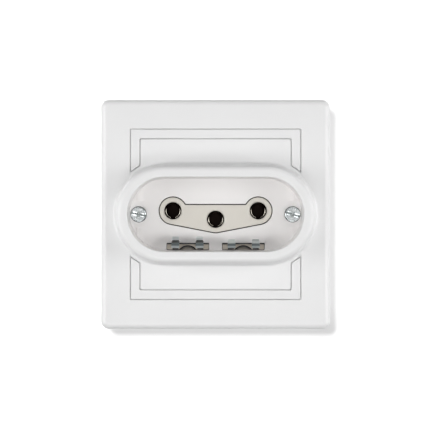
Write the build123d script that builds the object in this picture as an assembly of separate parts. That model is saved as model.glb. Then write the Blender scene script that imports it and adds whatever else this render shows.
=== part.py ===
from build123d import *
import os
from math import radians, sqrt, tan

# Three-phase porcelain surface socket: a wired porcelain base screwed to the wall,
# under a deep moulded cover with an oval collar for the plug.
# Sizes are in millimetres and angles in degrees. The socket is drawn as it hangs:
# x to the right, y up, z out of the wall, with the wall's surface at z = 0.

# Cover: plate and skirt
plate_size = 81.0
cover_height = 30.0
plate_thickness = 2.2
skirt_wall = 2.2
skirt_lift = 0.4
skirt_draft = 0.7
plate_corner_radius = 3.0
hollow_corner_radius = 1.5
plate_edge_round = 2.0
knockout_width = 16.0
knockout_height = 15.0
knockout_arch_radius = 5.5
knockout_skin = 0.8

# Cover: oval collar and the recess inside it
collar_height = 17.0
collar_side_margin = 6.45
collar_rim_radius = 16.5
collar_draft = 4.0
collar_foot_fillet = 1.0
collar_rim_round = 1.7
recess_radius = 12.8
recess_draft = 0.9
recess_lip_chamfer = 0.4
recess_sink = 2.0
recess_floor_thickness = 2.4
recess_cup_wall = 2.2
end_pocket_inset = 2.45
end_pocket_depth = 1.5
end_pocket_round_run = 3.4
end_pocket_round_drop = 0.9
screw_pad_width = 9.3
window_width = 15.0
window_height = 2.45
window_spacing = 19.5

# Flush decor inlays
inlay_margin = 10.5
inlay_width = 3.7
inlay_thickness = 1.2
inlay_gap = 0.3
inlay_end_gap = 1.4
inlay_corner_radius = 0.5
inlay_peg_radius = 0.9
inlay_peg_clearance = 0.1

# Cover screws and their square nuts
cover_screw_inset = 3.05
cover_screw_radius = 1.5
cover_screw_clearance = 0.2
cover_head_radius = 2.85
cover_head_height = 2.0
cover_head_chamfer = 0.7
cover_slot_width = 0.8
cover_slot_depth = 0.9
cover_cross_span = 3.6
cover_cross_depth = 1.3
cover_slot_turns = (-12.0, -17.0)
cover_nut_size = 5.5
cover_nut_thickness = 2.4
cover_nut_drop = 10.0
screw_tip = 1.5
screw_tip_room = 1.5

# Plug pins and the porcelain boss that fills the recess floor
pin_pitch = 15.0
outer_pin_height = 1.25
middle_pin_drop = 3.0
pin_hole_radius = 3.0
pin_mouth_radius = 3.7
pin_mouth_depth = 0.6
boss_lobe_radius = 4.7
boss_nose_radius = 4.6
boss_top_rise = 2.05
boss_corner_radius = 0.6
boss_edge_chamfer = 0.25
boss_gap = 0.34
boss_sink = 0.3

# Porcelain base
base_clearance = 4.3
base_half_height = 22.0
base_corner_radius = 4.0
block_corner_radius = 1.5
base_flange_height = 8.0
wall_hole_radius = 2.4
wall_hole_inset_x = 7.0
wall_hole_inset_y = 6.0
channel_wall = 3.0
top_wall = 4.0
block_clearance = 0.3
end_boss_half_height = 6.0
window_pad_sink = 1.4
window_pad_gap = 0.15
window_pad_top_gap = 0.45
fit_clearance = 0.2
thread_clearance = 0.05

# Phase contacts: split sleeves riveted to terminal bars
bar_width = 7.0
bar_depth = 6.2
bar_chamfer = 0.7
sleeve_radius = 3.4
sleeve_bore_radius = 2.25
sleeve_bore_floor = 1.6
sleeve_shank_radius = 2.2
sleeve_mouth_chamfer = 0.3
sleeve_nose_radius = 2.65
sleeve_nose_length = 0.9
sleeve_front_gap = 0.3
sleeve_front_wall = 0.8
slit_width = 1.5
slit_root = 3.5
groove_depth = 0.35
groove_height = 2.6
groove_inset = 2.9
spring_thickness = 0.6
spring_height = 2.4
spring_opening = 1.6
spring_room = 0.35
terminal_inset = 5.0
wire_hole_radius = 1.8
wire_hole_length = 10.0
wire_entry_radius = 2.4
terminal_screw_radius = 1.75
terminal_head_radius = 2.9
terminal_head_height = 2.0
terminal_slot_width = 0.9
terminal_slot_depth = 1.0
terminal_head_chamfer = 0.4
driver_clearance = 0.7

# Rear insulating plate
rear_plate_thickness = 1.5
rear_plate_inset = 0.4
rear_plate_overlap = 1.5
rear_plate_corner_radius = 2.0

# Neutral and earth side contacts, bent from strip
strip_thickness = 0.6
strip_tail = 8.5
strip_bend_radius = 1.0
shelf_drop = 6.1
finger_width = 2.3
lip_width = 2.75
finger_spacing = 8.4
neck_width = 1.2
neck_rise = 0.4
finger_window_gap = 0.35
finger_straight = 1.0
hump_reaches = (3.25, 1.9)
hump_height = 5.0
hump_radius = 1.3
fold_reach = 1.1
fold_height = 6.6
fold_radius = 0.6
lip_reach = 0.6
lip_height = 9.2
tip_reach = -0.9
tip_height = 10.2
side_pocket_margin = 0.3
shelf_roof_depth = 3.2
side_well_clearance = 0.35
side_screw_radius = 1.75
side_screw_drop = 4.65
side_head_radius = 3.3
side_head_height = 2.0
side_head_chamfer = 0.3
side_washer_radius = 3.35
side_washer_thickness = 0.8
side_nut_size = 7.0
side_nut_thickness = 3.0
side_nut_roof = 2.5

# Levels above the wall, worked out from the sizes
plate_back = cover_height - plate_thickness
rim_level = cover_height + collar_height
recess_floor = cover_height - recess_sink
floor_back = recess_floor - recess_floor_thickness
block_top = floor_back - block_clearance
boss_face = recess_floor - boss_sink
pad_face = recess_floor - window_pad_sink
bar_back = rear_plate_inset + rear_plate_thickness
bar_front = bar_back + bar_depth
bore_end = block_top - sleeve_front_wall
sleeve_front = bore_end - sleeve_front_gap
shelf = recess_floor - shelf_drop
side_nut_top = shelf - side_nut_roof
cover_nut_top = floor_back - cover_nut_drop

# Places across the wall, worked out from the sizes
plate_half = plate_size / 2
recess_depth = rim_level - recess_floor
recess_floor_radius = recess_radius - recess_depth * tan(radians(recess_draft))
collar_foot_radius = collar_rim_radius + collar_height * tan(radians(collar_draft))
collar_half_span = plate_half - collar_side_margin - collar_rim_radius
recess_end = collar_half_span + recess_floor_radius
cover_screw_x = recess_end - cover_screw_inset
window_top = window_height - recess_floor_radius
window_x = window_spacing / 2
side_screw_y = window_top - side_screw_drop
strip_width = finger_spacing + lip_width
base_half_width = plate_half - skirt_wall - base_clearance
wall_hole_x = base_half_width - wall_hole_inset_x
wall_hole_y = base_half_height - wall_hole_inset_y
bar_end = base_half_height - top_wall
terminal_y = bar_end - terminal_inset
wire_level = (bar_back + bar_front) / 2
block_half_width = pin_pitch + bar_width / 2 + channel_wall
pins = {
    "left": (-pin_pitch, outer_pin_height),
    "middle": (0.0, outer_pin_height - middle_pin_drop),
    "right": (pin_pitch, outer_pin_height),
}
side_contacts = {"neutral": -window_x, "earth": window_x}
cover_ends = {"left": -1, "right": 1}

LOW_END = (Align.CENTER, Align.CENTER, Align.MIN)
touching = 0.001


def cylinder(place, radius, low, high):
    """An upright cylinder at a place on the wall, between two levels."""
    return Pos(*place, low) * Cylinder(radius, high - low, align=LOW_END)


def slab(x_range, y_range, z_range):
    """A box between two limits on each axis."""
    sides = [max(pair) - min(pair) for pair in (x_range, y_range, z_range)]
    return Pos(min(x_range), min(y_range), min(z_range)) * Box(*sides, align=(Align.MIN,) * 3)


def prism(outline, low, high, draft=0.0):
    """An outline raised from one level to another, with its walls leaning in by the draft."""
    return extrude(Pos(0, 0, low) * outline, amount=high - low, taper=draft)


def stadium(radius):
    """The oval of the collar: two half rounds on the collar's own centres."""
    return SlotCenterToCenter(2 * collar_half_span, 2 * radius)


def boss_outline(grow):
    """Two round lobes over the outer pins and a nose under the middle pin, with a straight top."""
    radii = [boss_lobe_radius, boss_nose_radius, boss_lobe_radius]
    rounds = [Pos(*pin) * Circle(radius + grow) for pin, radius in zip(pins.values(), radii)]
    top = outer_pin_height + boss_top_rise + grow
    below_top = Pos(0, top) * Rectangle(plate_size, plate_size, align=(Align.CENTER, Align.MAX))
    hull = make_hull([edge for disc in rounds for edge in disc.edges()])
    outline = (hull & below_top) + rounds[0] + rounds[-1]
    corners = outline.vertices().filter_by(lambda v: abs(v.Y - top) < touching and abs(v.X) < pin_pitch)
    return fillet(corners, boss_corner_radius)


def inlay_outline(shrink):
    """A flat band bent to a U, its ends cut square to the collar's round."""
    outer = plate_half - inlay_margin - shrink
    inner = outer - inlay_width + 2 * shrink
    reach = collar_foot_radius + inlay_end_gap + shrink
    outer_end, inner_end = (sqrt(reach**2 - (x - collar_half_span) ** 2) for x in (outer, inner))
    right = [(inner, inner), (inner, inner_end), (outer, outer_end), (outer, outer)]
    left = [(-x, y) for x, y in reversed(right)]
    outline = make_face(Polyline(*right, *left, close=True))
    corners = [v for v in outline.vertices() if v.Y > outer - inlay_corner_radius]
    return fillet(corners, inlay_corner_radius)


def inlay_pegs():
    """Places of one peg in the middle of the band and one in each leg."""
    middle = plate_half - inlay_margin - inlay_width / 2
    return [(0, middle), (-middle, middle - inlay_width), (middle, middle - inlay_width)]


def skirted_plate():
    """The plate with its deep skirt, open towards the wall."""
    outline = RectangleRounded(plate_size, plate_size, plate_corner_radius)
    shell = prism(outline, skirt_lift, cover_height, skirt_draft)
    shell = fillet(shell.edges().group_by(Axis.Z)[-1], plate_edge_round)
    inside = plate_size - 2 * skirt_wall
    hollow = RectangleRounded(inside, inside, hollow_corner_radius)
    return shell - prism(hollow, skirt_lift, plate_back, skirt_draft)


def knockouts():
    """Cable entries in the top and bottom of the skirt, thinned from inside to a skin."""
    face = plate_half - knockout_height * tan(radians(skirt_draft)) - knockout_skin
    entry = slab(
        (-knockout_width / 2, knockout_width / 2),
        (face, face - skirt_wall),
        (skirt_lift, skirt_lift + knockout_height),
    )
    arch = entry.edges().filter_by(Axis.Y).group_by(Axis.Z)[-1]
    entry = fillet(arch, knockout_arch_radius)
    return entry + mirror(entry, Plane.XZ)


def end_pockets():
    """Low corners at the ends of the recess floor, with rounded edges beside the screw pads."""
    edge = recess_end - end_pocket_inset
    low = recess_floor - end_pocket_depth
    arc_start = (edge - end_pocket_round_run, recess_floor)
    arc_end = (edge, recess_floor - end_pocket_round_drop)
    outline = TangentArc(arc_start, arc_end, tangent=(1, 0))
    outline += Polyline(arc_end, (edge, low), (recess_end, low), (recess_end, recess_floor), arc_start)
    step = make_face(Plane.XZ * outline)
    corner = extrude(step, amount=-recess_radius) - slab(
        (0, recess_end), (0, screw_pad_width / 2), (low, recess_floor)
    )
    corner = corner & prism(stadium(recess_floor_radius), low, recess_floor)
    pair = corner + mirror(corner, Plane.XZ)
    return pair + mirror(pair, Plane.YZ)


def front_cover():
    """Plate, skirt, collar and recess, moulded in one piece."""
    plate = skirted_plate()
    collar = prism(stadium(collar_foot_radius), cover_height, rim_level, collar_draft)
    collar = fillet(collar.edges().group_by(Axis.Z)[-1], collar_rim_round)
    cover = plate + collar
    collar_end = collar_half_span + collar_foot_radius + collar_foot_fillet
    foot = cover.edges().filter_by_position(Axis.Z, cover_height, cover_height)
    foot = foot.filter_by(lambda edge: max(abs(edge.center().X), abs(edge.center().Y)) < collar_end)
    cover = fillet(foot, collar_foot_fillet)
    cover += prism(stadium(recess_floor_radius + recess_cup_wall), floor_back, cover_height)
    cover -= prism(stadium(recess_floor_radius), recess_floor, rim_level, -recess_draft)
    lip_side = recess_radius + recess_lip_chamfer
    lip_end = collar_half_span + lip_side
    rim = cover.edges().group_by(Axis.Z)[-1]
    lip = rim.filter_by(lambda edge: abs(edge.center().X) < lip_end and abs(edge.center().Y) < lip_side)
    cover = chamfer(lip, recess_lip_chamfer)
    cover -= end_pockets()
    cover -= prism(boss_outline(boss_gap), floor_back, recess_floor)
    for x in side_contacts.values():
        cover -= slab(
            (x - window_width / 2, x + window_width / 2),
            (window_top, -recess_floor_radius),
            (floor_back, recess_floor),
        )
    for side in cover_ends.values():
        hole_radius = cover_screw_radius + cover_screw_clearance
        cover -= cylinder((side * cover_screw_x, 0), hole_radius, floor_back, recess_floor)
    seats = prism(inlay_outline(0), cover_height - inlay_thickness, cover_height)
    for peg in inlay_pegs():
        seats += cylinder(peg, inlay_peg_radius + inlay_peg_clearance, plate_back, cover_height)
    return cover - seats - mirror(seats, Plane.XZ) - knockouts()


def inlay():
    """One decor band with its pegs, flush with the plate."""
    band = prism(inlay_outline(inlay_gap), cover_height - inlay_thickness, cover_height)
    for peg in inlay_pegs():
        band += cylinder(peg, inlay_peg_radius, plate_back, cover_height - inlay_thickness)
    return band


def porcelain_base():
    """The pressed porcelain block that carries every live piece."""
    outline = RectangleRounded(2 * base_half_width, 2 * base_half_height, base_corner_radius)
    base = prism(outline, 0, base_flange_height)
    end_bosses = RectangleRounded(2 * base_half_width, 2 * end_boss_half_height, block_corner_radius)
    base += prism(end_bosses, 0, floor_back)
    block = RectangleRounded(2 * block_half_width, 2 * base_half_height, block_corner_radius)
    base += prism(block, 0, block_top)
    boss = prism(boss_outline(0), block_top, boss_face)
    base += chamfer(boss.edges().group_by(Axis.Z)[-1], boss_edge_chamfer)
    for x in side_contacts.values():
        base += window_pad(x)
    for pin in pins.values():
        base -= phase_room(pin)
    base -= rear_plate_room()
    for x in side_contacts.values():
        base -= side_contact_room(x)
    for side in cover_ends.values():
        base -= cover_nut_room(side)
    for x in (-wall_hole_x, wall_hole_x):
        for y in (-wall_hole_y, wall_hole_y):
            base -= cylinder((x, y), wall_hole_radius, 0, base_flange_height)
    return base


def window_pad(x):
    """A low pad that fills one window in the recess floor, with a narrow gap and a wider one above."""
    half = window_width / 2 - window_pad_gap
    y_range = (window_pad_gap - recess_floor_radius, window_top - window_pad_top_gap)
    return slab((x - half, x + half), y_range, (block_top, pad_face))


def phase_room(pin):
    """Hollows for one phase contact: sleeve bore, pin hole, bar channel, wire and driver ways."""
    x, y = pin
    bore_radius = sleeve_radius - groove_depth + spring_thickness + spring_room
    room = cylinder(pin, bore_radius, 0, bore_end)
    room += cylinder(pin, pin_hole_radius, bore_end, boss_face)
    mouth = Cone(pin_hole_radius, pin_mouth_radius, pin_mouth_depth, align=LOW_END)
    room += Pos(x, y, boss_face - pin_mouth_depth) * mouth
    half = bar_width / 2 + fit_clearance
    room += slab((x - half, x + half), (y - half, bar_end + fit_clearance), (0, bar_front))
    driver_radius = terminal_head_radius + driver_clearance
    room += cylinder((x, terminal_y), driver_radius, bar_front, block_top)
    wire_way = Cylinder(wire_entry_radius, top_wall, align=LOW_END)
    return room + Pos(x, bar_end, wire_level) * Rot(X=-90) * wire_way


def rear_plate_sketch(clearance):
    """Outline of the insulating plate over the three channels, or of its recess."""
    half_width = pin_pitch + bar_width / 2 + rear_plate_overlap - fit_clearance + clearance
    low = outer_pin_height - middle_pin_drop - bar_width / 2 - rear_plate_overlap - clearance
    high = bar_end + rear_plate_overlap + clearance
    outline = RectangleRounded(2 * half_width, high - low, rear_plate_corner_radius)
    return Pos(0, (low + high) / 2) * outline


def rear_plate_room():
    """The shallow recess for the insulating plate."""
    return prism(rear_plate_sketch(fit_clearance), 0, bar_back)


def side_contact_room(x):
    """Hollows for one side contact: its shelf and roofed slots, the screw's well and the nut's slot."""
    half = window_width / 2 + side_pocket_margin
    back = window_top + side_pocket_margin
    roof_edge = back - shelf_roof_depth
    room = slab((x - half, x + half), (roof_edge, -base_half_height), (shelf, block_top))
    half = strip_width / 2 + side_pocket_margin
    roof = shelf + strip_thickness + fit_clearance
    room += slab((x - half, x + half), (back, roof_edge), (shelf, roof))
    half = neck_width / 2 + fit_clearance
    for middle in (x - finger_spacing / 2, x + finger_spacing / 2):
        room += slab((middle - half, middle + half), (back, roof_edge), (shelf, pad_face))
    room += cylinder((x, side_screw_y), side_washer_radius + side_well_clearance, shelf, pad_face)
    nut_low = side_nut_top - side_nut_thickness
    hole = side_screw_radius + fit_clearance
    room += cylinder((x, side_screw_y), hole, nut_low - screw_tip - screw_tip_room, shelf)
    nut_half = side_nut_size / 2 + fit_clearance
    return room + slab(
        (x - nut_half, x + nut_half),
        (side_screw_y + nut_half, -base_half_height),
        (nut_low - fit_clearance, side_nut_top),
    )


def cover_nut_room(side):
    """Hollows for one cover screw: its hole and the slot that its nut slides in by."""
    x = side * cover_screw_x
    low = cover_nut_top - cover_nut_thickness
    hole_radius = cover_screw_radius + cover_screw_clearance
    room = cylinder((x, 0), hole_radius, low - screw_tip - screw_tip_room, floor_back)
    half = cover_nut_size / 2 + fit_clearance
    return room + slab(
        (x - side * half, side * base_half_width), (-half, half), (low - fit_clearance, cover_nut_top)
    )


def phase_sleeve(pin):
    """A turned brass sleeve, bored for the pin, split at its lower side and shanked for the rivet."""
    floor = bar_front + sleeve_bore_floor
    groove_high = sleeve_front - groove_inset
    groove_low = groove_high - groove_height
    groove_radius = sleeve_radius - groove_depth
    profile = Polyline(
        (0, bar_back),
        (sleeve_shank_radius, bar_back),
        (sleeve_shank_radius, bar_front),
        (sleeve_radius, bar_front),
        (sleeve_radius, groove_low),
        (groove_radius, groove_low),
        (groove_radius, groove_high),
        (sleeve_radius, groove_high),
        (sleeve_radius, sleeve_front - sleeve_nose_length),
        (sleeve_nose_radius, sleeve_front),
        (sleeve_bore_radius + sleeve_mouth_chamfer, sleeve_front),
        (sleeve_bore_radius, sleeve_front - sleeve_mouth_chamfer),
        (sleeve_bore_radius, floor),
        (0, floor),
        close=True,
    )
    turned = revolve(make_face(Plane.XZ * profile), Axis.Z)
    slit = slab((-slit_width / 2, slit_width / 2), (-sleeve_radius, 0), (floor + slit_root, sleeve_front))
    return Pos(*pin, 0) * (turned - slit)


def sleeve_spring(pin):
    """An open steel ring in the sleeve's groove, which keeps the split sleeve closed on the pin."""
    middle = sleeve_front - groove_inset - groove_height / 2
    inner = sleeve_radius - groove_depth + thread_clearance
    outer = inner + spring_thickness
    low, high = middle - spring_height / 2, middle + spring_height / 2
    ring = cylinder((0, 0), outer, low, high) - cylinder((0, 0), inner, low, high)
    opening = slab((-spring_opening / 2, spring_opening / 2), (0, outer), (low, high))
    return Pos(*pin, 0) * (ring - opening)


def terminal_bar(pin):
    """A brass bar on the sleeve's shank, with a wire hole from its end and a tapped clamp hole."""
    x, y = pin
    half = bar_width / 2
    bar = slab((x - half, x + half), (y - half, bar_end), (bar_back, bar_front))
    bar = chamfer(bar.edges().filter_by(Axis.Z), bar_chamfer)
    bar -= cylinder(pin, sleeve_shank_radius + thread_clearance, bar_back, bar_front)
    bar -= cylinder((x, terminal_y), terminal_screw_radius + thread_clearance, wire_level, bar_front)
    wire_hole = Cylinder(wire_hole_radius, wire_hole_length, align=LOW_END)
    return bar - Pos(x, bar_end, wire_level) * Rot(X=90) * wire_hole


def slotted_screw(radius, tip, seat, head_radius, head_height, head_chamfer):
    """A cheese-headed slotted screw on the z axis, from its tip to its head's seat and above."""
    head = cylinder((0, 0), head_radius, seat, seat + head_height)
    head = chamfer(head.edges().group_by(Axis.Z)[-1], head_chamfer)
    slot = slab(
        (-head_radius, head_radius),
        (-terminal_slot_width / 2, terminal_slot_width / 2),
        (seat + head_height - terminal_slot_depth, seat + head_height),
    )
    return head - slot + cylinder((0, 0), radius, tip, seat)


def terminal_screw(pin):
    """The clamp screw of a phase terminal, run down until its head meets the bar."""
    screw = slotted_screw(
        terminal_screw_radius,
        wire_level,
        bar_front,
        terminal_head_radius,
        terminal_head_height,
        terminal_head_chamfer,
    )
    return Pos(pin[0], terminal_y, 0) * screw


def insulating_plate():
    """A pressed-board plate that shuts the live channels from the wall."""
    return prism(rear_plate_sketch(0), rear_plate_inset, bar_back)


def side_contact(x, reach):
    """A strip bent up from its screwed foot into two spring fingers, necked low down and humped above."""
    line_y = window_top - finger_window_gap - strip_thickness / 2
    line_z = shelf + strip_thickness / 2
    path = FilletPolyline(
        (line_y - strip_tail, line_z),
        (line_y, line_z),
        (line_y, recess_floor + finger_straight),
        (line_y + reach, recess_floor + hump_height),
        (line_y + fold_reach, recess_floor + fold_height),
        (line_y + lip_reach, recess_floor + lip_height),
        (line_y + tip_reach, recess_floor + tip_height),
        radius=(strip_bend_radius, hump_radius, hump_radius, fold_radius, fold_radius),
    )
    section = make_face(offset(path, amount=strip_thickness / 2, side=Side.BOTH))
    strip = extrude(Plane.YZ * section, amount=strip_width / 2, both=True)
    bend_start = line_y - strip_bend_radius - strip_thickness / 2
    keep = slab((-strip_width, strip_width), (bend_start - strip_tail, bend_start), (shelf, rim_level))
    neck_top = pad_face + neck_rise
    lip_start = recess_floor + fold_height
    lengths = [
        (neck_width, shelf, neck_top),
        (finger_width, neck_top, lip_start),
        (lip_width, lip_start, rim_level),
    ]
    for middle in (-finger_spacing / 2, finger_spacing / 2):
        for width, low, high in lengths:
            sides = (middle - width / 2, middle + width / 2)
            keep += slab(sides, (bend_start, line_y + reach + strip_thickness), (low, high))
    contact = strip & keep
    hole = cylinder((0, side_screw_y), side_screw_radius + fit_clearance, shelf, shelf + strip_thickness)
    return Pos(x, 0, 0) * (contact - hole)


def side_washer(x):
    """The clamp washer on a side contact's foot."""
    low = shelf + strip_thickness
    high = low + side_washer_thickness
    place = (x, side_screw_y)
    hole = cylinder(place, side_screw_radius + fit_clearance, low, high)
    return cylinder(place, side_washer_radius, low, high) - hole


def side_screw(x):
    """The terminal screw of a side contact, through the washer and foot into its nut."""
    seat = shelf + strip_thickness + side_washer_thickness
    tip = side_nut_top - side_nut_thickness - screw_tip
    screw = slotted_screw(
        side_screw_radius, tip, seat, side_head_radius, side_head_height, side_head_chamfer
    )
    return Pos(x, side_screw_y, 0) * screw


def square_nut(place, size, thickness, top, screw_radius):
    """A square nut with its top against the roof of its slot."""
    low = top - thickness
    nut = Pos(*place, low) * Box(size, size, thickness, align=LOW_END)
    return nut - cylinder(place, screw_radius + thread_clearance, low, top)


def cover_screw(side, turn):
    """A pan-headed cover screw with a slot and a cross, down to its nut."""
    top = recess_floor + cover_head_height
    head = cylinder((0, 0), cover_head_radius, recess_floor, top)
    head = chamfer(head.edges().group_by(Axis.Z)[-1], cover_head_chamfer)
    cut = (-cover_slot_width / 2, cover_slot_width / 2)
    slot = slab((-cover_head_radius, cover_head_radius), cut, (top - cover_slot_depth, top))
    arm = slab((-cover_cross_span / 2, cover_cross_span / 2), cut, (top - cover_cross_depth, top))
    recess = Rot(Z=turn) * (slot + arm + Rot(Z=90) * arm)
    tip = cover_nut_top - cover_nut_thickness - screw_tip
    screw = head - recess + cylinder((0, 0), cover_screw_radius, tip, recess_floor)
    return Pos(side * cover_screw_x, 0, 0) * screw


def all_pieces():
    """Every piece by its node's name, as it hangs on the wall."""
    pieces = {
        "front_cover": front_cover(),
        "upper_inlay": inlay(),
        "lower_inlay": mirror(inlay(), Plane.XZ),
        "porcelain_base": porcelain_base(),
        "insulating_plate": insulating_plate(),
    }
    for (name, side), turn in zip(cover_ends.items(), cover_slot_turns):
        pieces[f"cover_screw_{name}"] = cover_screw(side, turn)
        place = (side * cover_screw_x, 0)
        pieces[f"cover_nut_{name}"] = square_nut(
            place, cover_nut_size, cover_nut_thickness, cover_nut_top, cover_screw_radius
        )
    for name, pin in pins.items():
        pieces[f"phase_sleeve_{name}"] = phase_sleeve(pin)
        pieces[f"sleeve_spring_{name}"] = sleeve_spring(pin)
        pieces[f"terminal_bar_{name}"] = terminal_bar(pin)
        pieces[f"terminal_screw_{name}"] = terminal_screw(pin)
    for (name, x), reach in zip(side_contacts.items(), hump_reaches):
        pieces[f"{name}_contact"] = side_contact(x, reach)
        pieces[f"{name}_washer"] = side_washer(x)
        pieces[f"{name}_screw"] = side_screw(x)
        pieces[f"{name}_nut"] = square_nut(
            (x, side_screw_y), side_nut_size, side_nut_thickness, side_nut_top, side_screw_radius
        )
    return pieces


# Turn the wall upright: the front looks along -Y and up is +Z, with the wall's plane at Y = 0
os.makedirs("parts", exist_ok=True)
for node, piece in all_pieces().items():
    export_step(Rot(X=90) * piece, f"parts/{node}.step")
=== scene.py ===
# %% [markdown]
# This is a three-phase porcelain surface socket on a wall, seen straight from the front. A wired
# porcelain block is screwed to the wall, and a deep white cover with an oval collar goes over it. The
# frame holds every piece as plain CAD. Here the pieces that show get finer forms, soft edges and their
# finishes, and then a wall and light.

# %% Load the frame
from math import acos, asin, atan2, cos, degrees, hypot, pi, radians, sin, sqrt, tan

import bmesh
import bpy
from mathutils import Matrix, Vector


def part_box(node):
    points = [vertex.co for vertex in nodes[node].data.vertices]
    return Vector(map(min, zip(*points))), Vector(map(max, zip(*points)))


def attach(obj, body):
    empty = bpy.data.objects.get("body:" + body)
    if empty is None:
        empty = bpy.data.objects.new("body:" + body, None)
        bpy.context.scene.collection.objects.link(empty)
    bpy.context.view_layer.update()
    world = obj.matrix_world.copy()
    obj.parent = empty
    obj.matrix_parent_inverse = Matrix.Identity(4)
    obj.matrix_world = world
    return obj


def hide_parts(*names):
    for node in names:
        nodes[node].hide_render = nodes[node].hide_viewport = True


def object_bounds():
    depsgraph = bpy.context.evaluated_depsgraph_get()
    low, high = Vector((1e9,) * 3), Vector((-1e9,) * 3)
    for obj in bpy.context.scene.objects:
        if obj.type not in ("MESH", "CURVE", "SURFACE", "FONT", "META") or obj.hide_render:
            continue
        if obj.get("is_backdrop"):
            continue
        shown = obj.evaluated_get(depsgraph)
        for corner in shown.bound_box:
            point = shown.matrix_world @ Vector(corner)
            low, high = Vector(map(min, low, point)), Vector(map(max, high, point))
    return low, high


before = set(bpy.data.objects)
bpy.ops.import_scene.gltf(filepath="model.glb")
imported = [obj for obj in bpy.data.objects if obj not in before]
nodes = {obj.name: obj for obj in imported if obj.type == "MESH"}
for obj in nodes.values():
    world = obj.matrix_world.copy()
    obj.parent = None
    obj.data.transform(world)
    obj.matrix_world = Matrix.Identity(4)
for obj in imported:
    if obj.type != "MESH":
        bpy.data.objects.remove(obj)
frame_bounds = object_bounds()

print("nodes in the frame:", len(nodes))

# %% [markdown]
# Everything is drawn the way a fitter sees it, in millimetres on the wall: x to the right, y up and z out
# of the wall. One matrix then hangs a finished mesh in the frame, where the front looks along -Y. Places
# and levels are read from the frame's own boxes, so a piece here stays where its CAD node is.

# %% Millimetres on the wall
MM = 0.001
HANG = Matrix.Rotation(radians(90), 4, "X") @ Matrix.Scale(MM, 4)


def extent(name):
    """Lowest and highest corner of a node, in millimetres on the wall."""
    low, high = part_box(name)
    return Vector((low.x, low.z, -high.y)) / MM, Vector((high.x, high.z, -low.y)) / MM


def middle(name):
    """The place of a node's middle on the wall."""
    low, high = extent(name)
    return (low.x + high.x) / 2, (low.y + high.y) / 2


cover_low, cover_high = extent("front_cover")
print("cover:", [round(size, 2) for size in cover_high - cover_low], "mm")

# %% [markdown]
# Moulded, pressed and turned pieces can all be made as a skin: a row of loops with the same count of
# points, joined by quads and shut by a flat cap at both ends. A prism has two loops, a turned piece has
# circles along its profile, and a moulding has the contour at each level. Blender's own cylinders and
# lathe modifiers could make some of them, but one function serves all, and a mesh built this way is
# closed from the start.


# %% Skins
def skin(name, loops):
    """A closed mesh through loops of points."""
    shell = bmesh.new()
    rows = [[shell.verts.new(point) for point in loop] for loop in loops]
    for low, high in zip(rows, rows[1:]):
        for i in range(len(low)):
            shell.faces.new((low[i - 1], low[i], high[i], high[i - 1]))
    shell.faces.new(rows[0])
    shell.faces.new(rows[-1])
    bmesh.ops.recalc_face_normals(shell, faces=shell.faces)
    mesh = bpy.data.meshes.new(name)
    shell.to_mesh(mesh)
    shell.free()
    thing = bpy.data.objects.new(name, mesh)
    bpy.context.scene.collection.objects.link(thing)
    return thing


# %% [markdown]
# Openings are cut with tools, as in a workshop: a plain body is taken away from another by a boolean.
# Pushing faces in by hand would do too, but then no size would be left in the script. The exact solver
# keeps the edges clean. Real edges are never quite sharp, so a bevel rounds them where they would catch
# the light.


# %% Cuts and soft edges
def settle(thing):
    """Bake a thing's modifiers into its mesh."""
    graph = bpy.context.evaluated_depsgraph_get()
    mesh = bpy.data.meshes.new_from_object(thing.evaluated_get(graph))
    thing.modifiers.clear()
    thing.data = mesh
    return thing


def combine(body, tool, operation):
    """Join a tool to a body or take it away, and drop the tool."""
    step = body.modifiers.new("tool", "BOOLEAN")
    step.operation = operation
    step.solver = "EXACT"
    step.object = tool
    settle(body)
    bpy.data.objects.remove(tool)
    return body


def cut(body, tool):
    """Take a tool away from a body."""
    return combine(body, tool, "DIFFERENCE")


def fuse(body, tool):
    """Join a tool to a body."""
    return combine(body, tool, "UNION")


def soften(thing, width, sharper_than=40, segments=3):
    """Round every edge that turns by more than an angle."""
    step = thing.modifiers.new("edge", "BEVEL")
    step.width = width
    step.segments = segments
    step.limit_method = "ANGLE"
    step.angle_limit = radians(sharper_than)
    return settle(thing)


# %% [markdown]
# Outlines on such a socket are straight runs and round arcs. A few small functions draw them as lists of
# points, so a shape is given by its radii and sizes and by no point of its own.


# %% Outlines
def arc(centre, radius, start, end, steps=8):
    """Points along a round, between two angles in degrees."""
    turns = [radians(start + (end - start) * i / steps) for i in range(steps + 1)]
    return [(centre[0] + radius * cos(turn), centre[1] + radius * sin(turn)) for turn in turns]


def circle(place, radius, level, count=72):
    """A loop round a place on the wall."""
    turns = [2 * pi * i / count for i in range(count)]
    return [(place[0] + radius * cos(turn), place[1] + radius * sin(turn), level) for turn in turns]


def turned(name, place, profile, count=72):
    """A turned piece through (radius, level) pairs."""
    return skin(name, [circle(place, radius, level, count) for radius, level in profile])


def rounded(low, high, corner, level, steps=6):
    """A rectangle with round corners as a loop."""
    corners = [
        (high[0] - corner, high[1] - corner, 0),
        (low[0] + corner, high[1] - corner, 90),
        (low[0] + corner, low[1] + corner, 180),
        (high[0] - corner, low[1] + corner, 270),
    ]
    points = [p for x, y, turn in corners for p in arc((x, y), corner, turn, turn + 90, steps)]
    return [(x, y, level) for x, y in points]


def block(name, x_range, y_range, z_range):
    """A plain box."""
    (left, right), (low, high) = x_range, y_range
    corners = [(left, low), (right, low), (right, high), (left, high)]
    return skin(name, [[(x, y, z) for x, y in corners] for z in z_range])


# %% [markdown]
# A finished mesh is hung in the frame, rides on the socket's one body and takes the place of its CAD
# node. Normals are weighted by face area, so that broad flats stay flat beside their rounded edges.


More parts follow.
